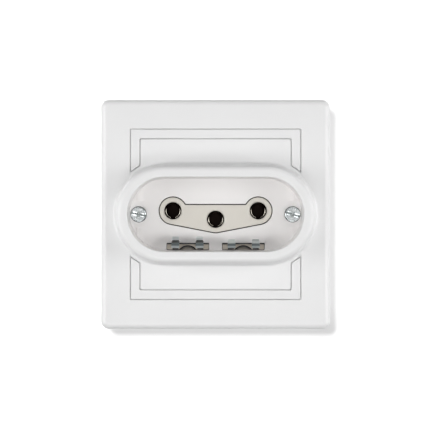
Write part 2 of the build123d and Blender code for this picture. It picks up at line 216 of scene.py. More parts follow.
# %% Hang a finished piece
def hang(thing, node, finish, crease=38):
    """Put a mesh into the frame in place of a CAD node."""
    thing.data.transform(HANG)
    thing.data.materials.clear()
    thing.data.materials.append(finish)
    thing.data.shade_smooth()
    thing.data.set_sharp_from_angle(angle=radians(crease))
    normals = thing.modifiers.new("even_normals", "WEIGHTED_NORMAL")
    normals.keep_sharp = True
    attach(thing, "root")
    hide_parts(node)
    print(f"{thing.name}: {len(thing.data.polygons)} faces")


def keep(node, finish):
    """Show a CAD node as it is, with its finish."""
    nodes[node].data.materials.clear()
    nodes[node].data.materials.append(finish)
    print(f"{node}: as in the frame")


# %% [markdown]
# The finishes share one recipe: a base colour that drifts a little from place to place, a roughness that
# drifts too, and a fine grain as bump. What differs is the numbers. Pressed thermoset is white and evenly
# glossy, glazed porcelain is cream and glassy with a wavy skin, and plated metals are streaked. Painted
# images would do too, but noise that is worked out from the place needs no unwrapping and shows no seams.

# %% One recipe for every finish
colour_detail, gloss_detail, grain_detail = 4.0, 3.0, 2.0
gloss_finer = 6


def surface(name, colours, roughness, grain, metallic=0.0, drift=40.0, stretch=(1.0, 1.0, 1.0)):
    """A material from two colours, a roughness range and a grain of (scale per metre, depth in metres)."""
    made = bpy.data.materials.new(name)
    made.use_nodes = True
    parts, links = made.node_tree.nodes, made.node_tree.links
    shader = parts["Principled BSDF"]
    shader.inputs["Metallic"].default_value = metallic
    place = parts.new("ShaderNodeTexCoord")
    scaled = parts.new("ShaderNodeMapping")
    scaled.inputs["Scale"].default_value = stretch
    links.new(place.outputs["Object"], scaled.inputs["Vector"])

    def noise(scale, detail):
        """A noise value at a scale per metre."""
        texture = parts.new("ShaderNodeTexNoise")
        texture.inputs["Scale"].default_value = scale
        texture.inputs["Detail"].default_value = detail
        links.new(scaled.outputs["Vector"], texture.inputs["Vector"])
        return texture.outputs["Fac"]

    colour = parts.new("ShaderNodeMix")
    colour.data_type = "RGBA"
    colour.inputs["A"].default_value = (*colours[0], 1.0)
    colour.inputs["B"].default_value = (*colours[1], 1.0)
    links.new(noise(drift, colour_detail), colour.inputs["Factor"])
    links.new(colour.outputs["Result"], shader.inputs["Base Color"])
    gloss = parts.new("ShaderNodeMapRange")
    gloss.inputs["To Min"].default_value = roughness[0]
    gloss.inputs["To Max"].default_value = roughness[1]
    links.new(noise(drift * gloss_finer, gloss_detail), gloss.inputs["Value"])
    links.new(gloss.outputs["Result"], shader.inputs["Roughness"])
    bump = parts.new("ShaderNodeBump")
    bump.inputs["Distance"].default_value = grain[1]
    links.new(noise(grain[0], grain_detail), bump.inputs["Height"])
    links.new(bump.outputs["Normal"], shader.inputs["Normal"])
    print("finish:", name)
    return made


# %% [markdown]
# What lies deep in a hole, slot or joint gets little light, and here that shade is painted into the colour.
# So a finish can fade to a dark tone from one level above the wall to a lower one, which draws slots and
# fine joints as painted shade. Other dark marks lie in a band between two places, or as a ring round the
# rim of a turned head. All of them follow from sizes of the piece, so they stay in place when it changes.


# %% Painted shade and other dark marks
def ramp(finish, axis, start, end, space="Object"):
    """A value that goes from 0 to 1 between two places on an axis, in metres or shares of a piece."""
    parts, links = finish.node_tree.nodes, finish.node_tree.links
    place = parts.new("ShaderNodeTexCoord")
    split = parts.new("ShaderNodeSeparateXYZ")
    links.new(place.outputs[space], split.inputs["Vector"])
    value = parts.new("ShaderNodeMapRange")
    value.inputs["From Min"].default_value = start
    value.inputs["From Max"].default_value = end
    links.new(split.outputs[axis], value.inputs["Value"])
    return value.outputs["Result"]


def tint(finish, amount, colour):
    """Mix a colour into a finish by an amount that varies."""
    parts, links = finish.node_tree.nodes, finish.node_tree.links
    base_colour = parts["Principled BSDF"].inputs["Base Color"]
    mix = parts.new("ShaderNodeMix")
    mix.data_type = "RGBA"
    mix.inputs["B"].default_value = (*colour, 1.0)
    links.new(amount, mix.inputs["Factor"])
    links.new(base_colour.links[0].from_socket, mix.inputs["A"])
    links.new(mix.outputs["Result"], base_colour)


def fade(finish, start, end, colour):
    """Let a finish change to a colour between two levels above the wall."""
    tint(finish, ramp(finish, "Y", -start * MM, -end * MM), colour)


def streak(finish, axis, rise, fall, colour):
    """Darken a finish between two ramps along an axis, each from its start to its end in metres."""
    parts, links = finish.node_tree.nodes, finish.node_tree.links
    mark = parts.new("ShaderNodeMath")
    mark.operation = "MULTIPLY"
    for socket, places in zip(mark.inputs, (rise, fall)):
        links.new(ramp(finish, axis, *places), socket)
    tint(finish, mark.outputs["Value"], colour)


def ring(finish, start, end, colour):
    """Darken the rim of a round piece, between two shares of its radius."""
    parts, links = finish.node_tree.nodes, finish.node_tree.links
    place = parts.new("ShaderNodeTexCoord")
    flat = parts.new("ShaderNodeVectorMath")
    flat.operation = "MULTIPLY"
    flat.inputs[1].default_value = (1, 0, 1)
    from_middle = parts.new("ShaderNodeVectorMath")
    from_middle.operation = "DISTANCE"
    from_middle.inputs[1].default_value = (0.5, 0, 0.5)
    amount = parts.new("ShaderNodeMapRange")
    amount.inputs["From Min"].default_value = start / 2
    amount.inputs["From Max"].default_value = end / 2
    links.new(place.outputs["Generated"], flat.inputs[0])
    links.new(flat.outputs["Vector"], from_middle.inputs[0])
    links.new(from_middle.outputs["Value"], amount.inputs["Value"])
    tint(finish, amount.outputs["Result"], colour)


# %% [markdown]
# The cover is one thermoset moulding: a plate on a deep skirt, an oval collar on the plate and a recess
# inside the collar. Cut at any height it is a rounded square or an oval, so it can be one skin that runs
# from the cup behind the recess, over the hollow, round the skirt's rim and up over plate and collar,
# down to the recess floor. Levels come from the frame. Drafts, walls and rounds are the moulding's own
# sizes.

# %% Sizes of the cover
cover_colours = [(0.88, 0.88, 0.88), (0.91, 0.91, 0.91)]
thermoset = surface("cover_plastic", cover_colours, roughness=(0.26, 0.34), grain=(1500.0, 2e-6))

plate_half = cover_high.x
rim_level = cover_high.z
skirt_lift = cover_low.z
cover_height = extent("upper_inlay")[1].z
plate_back = extent("upper_inlay")[0].z
skirt_wall = 2.2
skirt_draft = 0.7
plate_corner = 3.0
hollow_corner = 1.5
plate_edge_round = 2.0
collar_side_margin = 6.45
collar_rim_radius = 16.5
collar_draft = 4.0
collar_foot_round = 1.0
collar_rim_round = 1.7
recess_radius = 12.8
recess_draft = 0.9
lip_round = 0.4
floor_thickness = 2.4
cup_wall = 2.2
screw_head_height = 2.0

recess_floor = extent("cover_screw_left")[1].z - screw_head_height
floor_back = recess_floor - floor_thickness
floor_radius = recess_radius - (rim_level - recess_floor) * tan(radians(recess_draft))
foot_radius = collar_rim_radius + (rim_level - cover_height) * tan(radians(collar_draft))
half_span = plate_half - collar_side_margin - collar_rim_radius
print("recess floor:", round(recess_floor, 2), "mm from the wall")

# %% [markdown]
# The contours are squares and ovals, and a skin needs the same count of points in each. So every loop has
# its points in the same directions from the middle, which also keeps the flats between square and oval
# free of folds.


# %% Contours of the cover
def fan():
    """Directions from the middle: close together at the plate's corners and round the collar's ends."""
    points = []
    for side, turn in ((1, -90), (-1, 90)):
        points += arc((side * half_span, 0), collar_rim_radius, turn, turn + 180, steps=60)
    centre = plate_half - plate_corner
    for x, y, turn in ((1, 1, 0), (-1, 1, 90), (-1, -1, 180), (1, -1, 270)):
        points += arc((x * centre, y * centre), plate_corner, turn, turn + 90, steps=10)
    return sorted({round(atan2(y, x), 5) for x, y in points})


directions = fan()


def square(half, centre, level):
    """A rounded square whose corner rounds have their centres at a given place."""
    loop = []
    for turn in directions:
        c, s = abs(cos(turn)), abs(sin(turn))
        reach = half / max(c, s)
        if reach * min(c, s) > centre:
            along = centre * (c + s)
            reach = along + sqrt((half - centre) ** 2 - 2 * centre**2 + along**2)
        loop.append((reach * cos(turn), reach * sin(turn), level))
    return loop


def oval(radius, level):
    """The collar's oval: two half rounds joined by straight sides."""
    loop = []
    for turn in directions:
        c, s = abs(cos(turn)), abs(sin(turn))
        if radius * c <= half_span * s:
            reach = radius / s
        else:
            reach = half_span * c + sqrt(radius**2 - (half_span * s) ** 2)
        loop.append((reach * cos(turn), reach * sin(turn), level))
    return loop


# %% [markdown]
# The moulding is drawn from back to front in one go. Skirt and collar lean by their draft, so that the
# cover comes out of its mould, and each edge is an arc that runs into the leaning wall without a kink.


# %% The cover's moulding
def cover_loops():
    """The moulding's contours, from the cup behind the recess to the recess floor."""
    lean = tan(radians(skirt_draft))
    skirt_centre = plate_half - plate_corner
    inside = plate_half - skirt_wall
    hollow_centre = inside - hollow_corner
    cup = floor_radius + cup_wall
    loops = [oval(cup, floor_back), oval(cup, plate_back)]
    loops.append(square(inside - (plate_back - skirt_lift) * lean, hollow_centre, plate_back))
    loops.append(square(inside, hollow_centre, skirt_lift))
    loops.append(square(plate_half, skirt_centre, skirt_lift))
    edge_level = cover_height - plate_edge_round
    edge = plate_half - (edge_level - skirt_lift) * lean - plate_edge_round / cos(radians(skirt_draft))
    for half, level in arc((edge, edge_level), plate_edge_round, skirt_draft, 90):
        loops.append(square(half, skirt_centre, level))
    lean = tan(radians(collar_draft))
    slope = cos(radians(collar_draft))
    foot = foot_radius - collar_foot_round * lean + collar_foot_round / slope
    foot_level = cover_height + collar_foot_round
    for radius, level in arc((foot, foot_level), collar_foot_round, 270, 180 + collar_draft):
        loops.append(oval(radius, level))
    rim = collar_rim_radius + collar_rim_round * lean - collar_rim_round / slope
    rim_centre = rim_level - collar_rim_round
    for radius, level in arc((rim, rim_centre), collar_rim_round, collar_draft, 90, steps=12):
        loops.append(oval(radius, level))
    lip = recess_radius + lip_round
    for radius, level in arc((lip, rim_level - lip_round), lip_round, 90, 180 - recess_draft):
        loops.append(oval(radius, level))
    loops.append(oval(floor_radius, recess_floor))
    return loops


cover = skin("front_cover_skin", cover_loops())
print("moulding:", len(cover.data.polygons), "faces before its openings")

# %% [markdown]
# The recess floor has an opening for the porcelain boss, with one even gap all round: two round lobes
# over the outer pins, a straight top between them and a nose under the middle pin. The outline is worked
# out from the pins' places with tangents and arcs, so the boss itself can use it too. The opening's edge
# is slightly rounded.

# %% The opening for the boss
pins = {side: middle(f"phase_sleeve_{side}") for side in ("left", "middle", "right")}
boss_lobe = 4.7
boss_nose = 4.6
boss_top_rise = 2.05
boss_corner = 0.6
boss_gap = 0.34
opening_round = 0.2
past = 1.0
hair = 0.01


def boss_loop(grow, level):
    """The boss's outline, grown on all sides, from the inner corner of the right lobe and clockwise."""
    lobe, nose = boss_lobe + grow, boss_nose + grow
    (right_x, right_y), (nose_x, nose_y) = pins["right"], pins["middle"]
    rise = boss_top_rise + grow + boss_corner
    corner_x = right_x - sqrt((lobe + boss_corner) ** 2 - rise**2)
    meet = degrees(atan2(rise, corner_x - right_x))
    across, up = right_x - nose_x, right_y - nose_y
    under = degrees(atan2(up, across) - acos((nose - lobe) / hypot(across, up)))
    half = arc((corner_x, right_y + rise), boss_corner, -90, meet - 180, steps=6)
    half += arc((right_x, right_y), lobe, meet, under, steps=40)
    half += arc((nose_x, nose_y), nose, under, -90, steps=4)
    other_half = [(-x, y) for x, y in reversed(half[:-1])]
    return [(x, y, level) for x, y in half + other_half]


def eased(top, radius, low, steps=4):
    """(change, level) pairs of an upright wall whose top edge is rounded."""
    return [(0, low)] + [(radius - x, top - radius + y) for x, y in arc((0, 0), radius, 0, 90, steps)]


def flared(top, radius, low):
    """(growth, level) pairs for a cutting tool that leaves such an edge."""
    return [*eased(top, radius, low), (radius, top + past)]


opening_rows = flared(recess_floor, opening_round, floor_back - past)
cut(cover, skin("boss_tool", [boss_loop(boss_gap + grow, z) for grow, z in opening_rows]))
print("boss outline:", len(boss_loop(0, 0)), "points")

# %% [markdown]
# Below the boss two windows let the spring fingers through. They reach down to the recess's wall, so each
# tool starts a hair below the floor's edge. Its corners are slightly round, and it flares at the top,
# which leaves a rounded edge.

# %% Windows for the fingers
window_width = 15.0
window_height = 2.45
window_corner = 0.25
window_top = window_height - floor_radius
contacts = {name: middle(f"{name}_contact")[0] for name in ("neutral", "earth")}
for x in contacts.values():
    side = window_width / 2
    tool = []
    for grow, z in opening_rows:
        low = (x - side - grow, -floor_radius - hair)
        tool.append(rounded(low, (x + side + grow, window_top + grow), window_corner, z, steps=3))
    cut(cover, skin("window_tool", tool))
print("windows at x:", [round(x, 2) for x in contacts.values()])

# %% [markdown]
# At the recess's ends the floor drops in four low corners whose inner edges are gently rounded. Each is
# cut by a profile drawn out along the wall, and the profile is first kept inside the oval, so that the
# recess's own wall isn't touched.

# %% Low corners
pocket_inset = 2.45
pocket_depth = 1.5
pocket_run = 3.4
pocket_drop = 0.9
pad_half = 4.65
recess_end = half_span + floor_radius


def pocket_tool(side_x, side_y):
    """A low corner: an edge profile drawn out along y, kept inside the recess's oval."""
    edge = recess_end - pocket_inset
    start = edge - pocket_run
    radius = (pocket_run**2 + pocket_drop**2) / (2 * pocket_drop)
    turn = degrees(asin(pocket_run / radius))
    profile = arc((start, recess_floor - radius), radius, 90, 90 - turn, steps=12)
    profile += [(edge, recess_floor - pocket_depth), (recess_end + past, recess_floor - pocket_depth)]
    profile += [(recess_end + past, recess_floor + past), (start, recess_floor + past)]
    loops = [[(side_x * x, side_y * y, z) for x, z in profile] for y in (pad_half, recess_radius)]
    inside = skin("oval_tool", [oval(floor_radius - hair, z) for z in (floor_back, recess_floor + hair)])
    return combine(skin("pocket_tool", loops), inside, "INTERSECT")


for side_x in (1, -1):
    for side_y in (1, -1):
        cut(cover, pocket_tool(side_x, side_y))
print("low corners:", pocket_depth, "mm deep")

# %% [markdown]
# The pads that are left between the low corners carry the cover screws. Many pieces here have plain round
# holes, so a small function drills them.

# %% Screw holes in the cover
screw_places = {side: middle(f"cover_screw_{side}") for side in ("left", "right")}
screw_hole = 1.7
hole_count = 48


def drill(body, place, radius, low, high, count=hole_count):
    """Cut a round hole between two levels."""
    cut(body, turned("hole_tool", place, [(radius, low), (radius, high)], count))


for place in screw_places.values():
    drill(cover, place, screw_hole, floor_back - past, recess_floor + past)
print("screw holes at x:", [round(place[0], 2) for place in screw_places.values()])

# %% [markdown]
# Two decor bands are let into the plate, each bent to a U whose legs end square to the collar's foot.
# They lie flush, so only a fine dark joint shows. Each band has pegs that go through holes in the plate.
# The joint is the gap between seat and band, and both edges of it are broken a little, as on a real
# inlay. A drawn line would look the same from far away, but only a real joint has depth from close by.

# %% Seats for the decor bands
inlay_margin = 10.5
inlay_width = 3.7
inlay_corner = 0.5
inlay_end_gap = 1.4
inlay_gap = 0.3
inlay_thickness = 1.2
joint_round = 0.08
peg_radius = 0.9
peg_fit = 0.1
peg_count = 32


def band_loop(shrink, level, flip):
    """A decor band's outline, shrunk on all sides."""
    outer = plate_half - inlay_margin - shrink
    inner = outer - inlay_width + 2 * shrink
    reach = foot_radius + inlay_end_gap + shrink
    ends = [(x, sqrt(reach**2 - (x - half_span) ** 2)) for x in (inner, outer)]
    right = arc((inner - inlay_corner, inner - inlay_corner), inlay_corner, 90, 0, steps=4) + ends
    right += arc((outer - inlay_corner, outer - inlay_corner), inlay_corner, 0, 90, steps=4)
    outline = right + [(-x, y) for x, y in reversed(right)]
    return [(x, flip * y, level) for x, y in outline]


def peg_places(flip):
    """One peg in the band's middle and one in each leg."""
    line = plate_half - inlay_margin - inlay_width / 2
    return [(0, flip * line), (-line, flip * (line - inlay_width)), (line, flip * (line - inlay_width))]


bands = {"upper_inlay": 1, "lower_inlay": -1}
for flip in bands.values():
    seat = flared(cover_height, joint_round, cover_height - inlay_thickness)
    cut(cover, skin("seat_tool", [band_loop(-grow, z, flip) for grow, z in seat]))
    for place in peg_places(flip):
        drill(cover, place, peg_radius + peg_fit, plate_back - past, cover_height, peg_count)
print("cover:", len(cover.data.polygons), "faces with openings and seats")

# %% [markdown]
# Inside the recess the white is a trace creamier than on the plate, a painted warm tone for the light that
# bounces round in its shade. The tone lies inside an oval, and is worked out from the distance to the
# collar's long axis.


# %% A painted warm tone round the contacts
def axis_distance(finish, start, end):
    """A value that goes from 0 to 1 between two distances from the collar's long axis."""
    parts, links = finish.node_tree.nodes, finish.node_tree.links
    places = [parts.new("ShaderNodeTexCoord").outputs["Object"]]
    reach = half_span * MM
    steps = (("MULTIPLY", (1, 0, 1)), ("MAXIMUM", (-reach, 0, 0)), ("MINIMUM", (reach, 0, 0)))
    for operation, limits in steps:
        step = parts.new("ShaderNodeVectorMath")
        step.operation = operation
        step.inputs[1].default_value = limits
        links.new(places[-1], step.inputs[0])
        places.append(step.outputs["Vector"])
    distance = parts.new("ShaderNodeVectorMath")
    distance.operation = "DISTANCE"
    links.new(places[1], distance.inputs[0])
    links.new(places[-1], distance.inputs[1])
    value = parts.new("ShaderNodeMapRange")
    value.inputs["From Min"].default_value = start * MM
    value.inputs["From Max"].default_value = end * MM
    links.new(distance.outputs["Value"], value.inputs["Value"])
    return value.outputs["Result"]


# Painted warm tone for the bounced light in the recess's shade.
painted_warm_bounce = (0.89, 0.874, 0.867)
inside = axis_distance(thermoset, recess_radius + hair, recess_radius - hair)
tint(thermoset, inside, painted_warm_bounce)
print("warm tone within", recess_radius, "mm of the collar's long axis")

# %% [markdown]
# Cables enter through the top or bottom of the skirt. There the wall is thinned from inside to a skin in
# the shape of an arch, which the fitter breaks out. From outside the skirt looks plain.

# %% Cable entries thinned from inside
entry_half = 8.0
entry_height = 15.0
entry_arch = 5.5
entry_skin = 0.8
entry_face = plate_half - entry_height * tan(radians(skirt_draft)) - entry_skin
for flip in (1, -1):
    outline = [(entry_half, skirt_lift - past)]
    top = skirt_lift + entry_height - entry_arch
    outline += arc((entry_half - entry_arch, top), entry_arch, 0, 90)
    outline += [(-x, z) for x, z in reversed(outline)]
    depths = (flip * (entry_face - skirt_wall), flip * entry_face)
    cut(cover, skin("entry_tool", [[(x, y, z) for x, z in outline] for y in depths]))

hang(cover, "front_cover", thermoset)

# %% [markdown]
# The bands themselves are the same plastic, with a slightly broken top edge and pegs behind. Each is its
# seat's own outline, shrunk by the joint, so the gap is even all round. Down in the joint the finish
# fades to grey as painted shade, which draws the fine line.

# %% The decor bands
band_colours = [(0.87, 0.87, 0.87), (0.90, 0.90, 0.90)]
band_plastic = surface("inlay_plastic", band_colours, roughness=(0.28, 0.36), grain=(1400.0, 2e-6))
joint_light, joint_dark = 0.1, 0.3
painted_joint_shade = (0.16, 0.16, 0.16)
# Painted shade down in the joint between band and seat.
fade(band_plastic, cover_height - joint_light, cover_height - joint_dark, painted_joint_shade)
for node, flip in bands.items():
    level = cover_height - inlay_thickness
    rows = eased(cover_height, joint_round, level)
    band = skin(node + "_band", [band_loop(inlay_gap + shrink, z, flip) for shrink, z in rows])
    for place in peg_places(flip):
        peg = [(peg_radius, plate_back), (peg_radius, level + inlay_thickness / 2)]
        fuse(band, turned("peg", place, peg, peg_count))
    hang(band, node, band_plastic)

# %% [markdown]
# The base is pressed from porcelain and glazed: a flange on the wall, a tall block for the contacts,
# bosses under the ends of the recess and the flat boss that shows in front. Glaze rounds every edge, so
# the plain bodies are joined and bevelled first. The boss follows with its own, smaller round.

# %% The porcelain base
glaze_colours = [(0.69, 0.66, 0.60), (0.74, 0.71, 0.65)]
porcelain = surface("porcelain", glaze_colours, roughness=(0.10, 0.22), grain=(220.0, 1.2e-5), drift=90.0)
base_high = extent("porcelain_base")[1]
flange_height = 8.0
flange_corner = 4.0
block_corner = 1.5
end_boss_half = 6.0
block_gap = 0.3
glaze_round = 0.45
boss_edge = 0.25
channel_wall = 3.0
block_top = floor_back - block_gap
block_half = extent("terminal_bar_right")[1].x + channel_wall
half_width, half_height = base_high.x, base_high.y


def pressed(name, half_x, half_y, corner, low, high):
    """A plain pressed body with round corners."""
    return skin(name, [rounded((-half_x, -half_y), (half_x, half_y), corner, z) for z in (low, high)])


base = pressed("porcelain_base_glazed", half_width, half_height, flange_corner, 0, flange_height)
fuse(base, pressed("end_bosses", half_width, end_boss_half, block_corner, 0, floor_back))
fuse(base, pressed("contact_block", block_half, half_height, block_corner, 0, block_top))
soften(base, glaze_round)
boss_face = base_high.z
boss_rows = eased(boss_face, boss_edge, block_top - past)
fuse(base, skin("boss", [boss_loop(-shrink, z) for shrink, z in boss_rows]))
print("contact block:", round(2 * block_half, 2), "mm wide, its top at", round(block_top, 2), "mm")

# %% [markdown]
# In each window a low pad of porcelain stands behind the cover's floor, with a narrow gap all round. It
# is what one sees between the fingers.

# %% Window pads
pad_sink = 1.4
pad_gap = 0.15
pad_top_gap = 0.45
pad_round = 0.2
pad_face = recess_floor - pad_sink
for x in contacts.values():
    rows = []
    for shrink, z in eased(pad_face, pad_round, block_top - past):
        side = window_width / 2 - pad_gap - shrink
        low, high = (x - side, pad_gap + shrink - floor_radius), (x + side, window_top - pad_top_gap - shrink)
        rows.append(rounded(low, high, window_corner, z, steps=3))
    fuse(base, skin("window_pad", rows))
print("pads:", round(pad_sink, 2), "mm behind the recess floor")

# %% [markdown]
# The phase contacts lie in stepped bores behind the boss, with a channel for each terminal bar, a hole
# for the driver and a way in for the wire. Every hollow is worked out from the piece that lies in it,
# with a small clearance.

# %% Hollows for the phase contacts
fit = 0.2
spring_room = 0.3
front_wall = 0.8
pin_hole = 3.0
mouth_round = 0.65
driver_room = 0.7
wire_entry = 2.4


def room(name, grow, z_range=None, x_range=None, y_range=None):
    """A box round a node, grown by its clearance, with some of its ranges replaced."""
    low, high = extent(name)
    spans = [(low[i] - grow, high[i] + grow) for i in range(3)]
    given = (x_range, y_range, z_range)
    return block("room", *[new or old for new, old in zip(given, spans)])


for side, pin in pins.items():
    spring_low, spring_high = extent(f"sleeve_spring_{side}")
    bar_low, bar_high = extent(f"terminal_bar_{side}")
    wire_level = (bar_low.z + bar_high.z) / 2
    screw_low, screw_high = extent(f"terminal_screw_{side}")
    bore = (spring_high.x - spring_low.x) / 2 + spring_room
    bore_end = block_top - front_wall
    profile = [(bore, -past), (bore, bore_end), (pin_hole, bore_end)]
    profile += arc((pin_hole + mouth_round, boss_face - mouth_round), mouth_round, 180, 90)
    profile += [(pin_hole + mouth_round, boss_face + past)]
    cut(base, turned("pin_tool", pin, profile))
    cut(base, room(f"terminal_bar_{side}", fit, z_range=(-past, bar_high.z)))
    driver = (screw_high.x - screw_low.x) / 2 + driver_room
    terminal = middle(f"terminal_screw_{side}")
    cut(base, turned("driver_tool", terminal, [(driver, wire_level), (driver, block_top + past)]))
    ends = (bar_high.y, half_height + past)
    way = [circle((pin[0], wire_level), wire_entry, y, hole_count) for y in ends]
    cut(base, skin("wire_tool", [[(x, y, z) for x, z, y in loop] for loop in way]))

board_low, board_high = extent("insulating_plate")
board_corner = 2.0
low, high = (board_low.x - fit, board_low.y - fit), (board_high.x + fit, board_high.y + fit)
cut(base, skin("board_tool", [rounded(low, high, board_corner, z) for z in (-past, board_high.z)]))
print("outer phase bores:", round(pins["right"][0] - pins["left"][0], 2), "mm apart")

# %% [markdown]
# The block's lower side has a shelf for each side contact. Under the window a roof of porcelain covers
# the contact's foot, with two narrow slots that its fingers come up through and a round well for its
# screw. The edges of both are rounded by the glaze. The contact slides in from below.

# %% Shelves for the side contacts
shelf_margin = 0.3
roof_depth = 3.2
roof_round = 0.2
strip = 0.6
finger_spacing = 8.4
neck_width = 1.2
slot_outer, slot_inner = 0.6, 0.2
slot_corner = 0.4
well_fit = 0.5
for name, x in contacts.items():
    contact_low, contact_high = extent(f"{name}_contact")
    shelf = contact_low.z
    back = window_top + shelf_margin
    front = back - roof_depth
    side = window_width / 2 + shelf_margin
    y_range = (-half_height - past, front)
    cut(base, block("shelf_tool", (x - side, x + side), y_range, (shelf, block_top + past)))
    side = (contact_high.x - contact_low.x) / 2 + shelf_margin
    cut(base, block("foot_tool", (x - side, x + side), (front - past, back), (shelf, shelf + strip + fit)))
    for hand in (-1, 1):
        tool = []
        for grow, z in flared(pad_face, roof_round, shelf):
            outward = hand * (finger_spacing / 2 + neck_width / 2 + slot_outer + grow)
            inward = hand * (finger_spacing / 2 - neck_width / 2 - slot_inner - grow)
            low, high = sorted((x + outward, x + inward))
            tool.append(rounded((low, front - past), (high, back + grow), slot_corner, z))
        cut(base, skin("neck_tool", tool))
    washer_low, washer_high = extent(f"{name}_washer")
    well = (washer_high.x - washer_low.x) / 2 + well_fit
    profile = [(well + grow, z) for grow, z in flared(pad_face, roof_round, shelf)]
    cut(base, turned("well_tool", middle(f"{name}_screw"), profile))
    print(f"{name} shelf:", round(shelf, 2), "mm from the wall")

# %% [markdown]
# Square nuts slide into slots under the shelves and into the end bosses, and four screws hold the flange
# to the wall. Each slot is open to one side, so that the nut can be pushed in, and is cut as a box round
# the nut's own place.

# %% Nut slots and wall holes
screw_fit = 0.2
clamp_shank = 1.75
tip_room = 1.5
wall_hole = 2.4
wall_hole_inset = (7.0, 6.0)
for name, x in contacts.items():
    shelf = extent(f"{name}_contact")[0].z
    nut_low, nut_high = extent(f"{name}_nut")
    y_range = (-half_height - past, nut_high.y + fit)
    cut(base, room(f"{name}_nut", fit, y_range=y_range, z_range=(nut_low.z - fit, nut_high.z)))
    tip = extent(f"{name}_screw")[0].z - tip_room
    drill(base, middle(f"{name}_screw"), clamp_shank + screw_fit, tip, shelf + strip)

for side, place in screw_places.items():
    nut_low, nut_high = extent(f"cover_nut_{side}")
    outward = (half_width + past) * (1 if place[0] > 0 else -1)
    inward = nut_low.x - fit if place[0] > 0 else nut_high.x + fit
    x_range = (min(inward, outward), max(inward, outward))
    cut(base, room(f"cover_nut_{side}", fit, x_range=x_range, z_range=(nut_low.z - fit, nut_high.z)))
    tip = extent(f"cover_screw_{side}")[0].z - tip_room
    drill(base, place, screw_hole, tip, floor_back + past)

for side_x in (1, -1):
    for side_y in (1, -1):
        place = (side_x * (half_width - wall_hole_inset[0]), side_y * (half_height - wall_hole_inset[1]))
        drill(base, place, wall_hole, -past, flange_height + past)
print("wall holes:", 2 * wall_hole, "mm wide")

# %% [markdown]
# From the pads' face in the windows down, the porcelain is browner, as painted shade. Deeper, on the
# block's top, a dark band and a nearly black one paint the shade in its gaps and slots. Further down
# these two bands end. Each layer is a band of levels in the one finish, so nothing has to be painted on
# the mesh.

# %% Painted shade on the porcelain
pad_shade_height, pad_shade_edge = 0.5, 0.1
painted_pad_shade = (0.62, 0.56, 0.48)
gap_shade_depth, gap_shade_full = 0.12, 0.5
painted_gap_shade = (0.03, 0.024, 0.02)
deep_shade_depth, deep_shade_full = 0.2, 0.8
painted_deep_shade = (0.004, 0.003, 0.003)
shade_stop_start, shade_stop_full = 4.0, 5.0
layer_end = (block_top - shade_stop_start, block_top - shade_stop_full)


def layer(finish, levels, colour):
    """Darken a finish between four levels above the wall: start, full, full no more, and end."""
    start, full, full_end, end = [-level * MM for level in levels]
    streak(finish, "Y", (start, full), (end, full_end), colour)


# Painted shade: browner from the pads' face down, dark to nearly black in the block's gaps and slots.
fade(porcelain, pad_face + pad_shade_height, pad_face + pad_shade_edge, painted_pad_shade)
layer(porcelain, (pad_face - gap_shade_depth, pad_face - gap_shade_full, *layer_end), painted_gap_shade)
layer(porcelain, (block_top - deep_shade_depth, block_top - deep_shade_full, *layer_end), painted_deep_shade)
hang(base, "porcelain_base", porcelain)

# %% [markdown]
# Each phase has a turned brass sleeve. Its brass is drawn nearly black in the hole, as painted shade.
# Only the lower edge of the mouth, on both sides of the slit, stays bright, because the upper part is
# painted dark too, and shows as two thin crescents. So the finish is bright metal with painted shade over
# it twice: once by depth and once by height in the piece.

# %% Brass with painted shade, and spring steel
brass_colours = [(0.78, 0.72, 0.60), (0.86, 0.81, 0.72)]
brass = surface("brass", brass_colours, roughness=(0.16, 0.26), grain=(900.0, 3e-6), metallic=1.0)
blued_colours = [(0.20, 0.22, 0.27), (0.27, 0.28, 0.31)]
blued = surface("spring_steel", blued_colours, roughness=(0.25, 0.40), grain=(800.0, 3e-6), metallic=1.0)
painted_brass_shade = (0.010, 0.007, 0.006)
rim_depth = 0.02
painted_shade_depth = 0.16
sleeve_front = extent("phase_sleeve_left")[1].z
# Painted shade: dark in the sleeve's hole, and over its upper part so only lower crescents stay bright.
fade(brass, sleeve_front - rim_depth, sleeve_front - painted_shade_depth, painted_brass_shade)
bright_rim_share, painted_shade_share = 0.40, 0.62
tint(brass, ramp(brass, "Z", bright_rim_share, painted_shade_share, "Generated"), painted_brass_shade)

# %% [markdown]
# A sleeve is bored for the plug's pin and split at its lower side, and an open steel ring in a groove
# keeps it closed. It is turned on a lathe, and so it is here: one profile, from the riveted shank over
# the groove to the mouth and down into the bore. Then the slit is sawn in and all edges are broken.

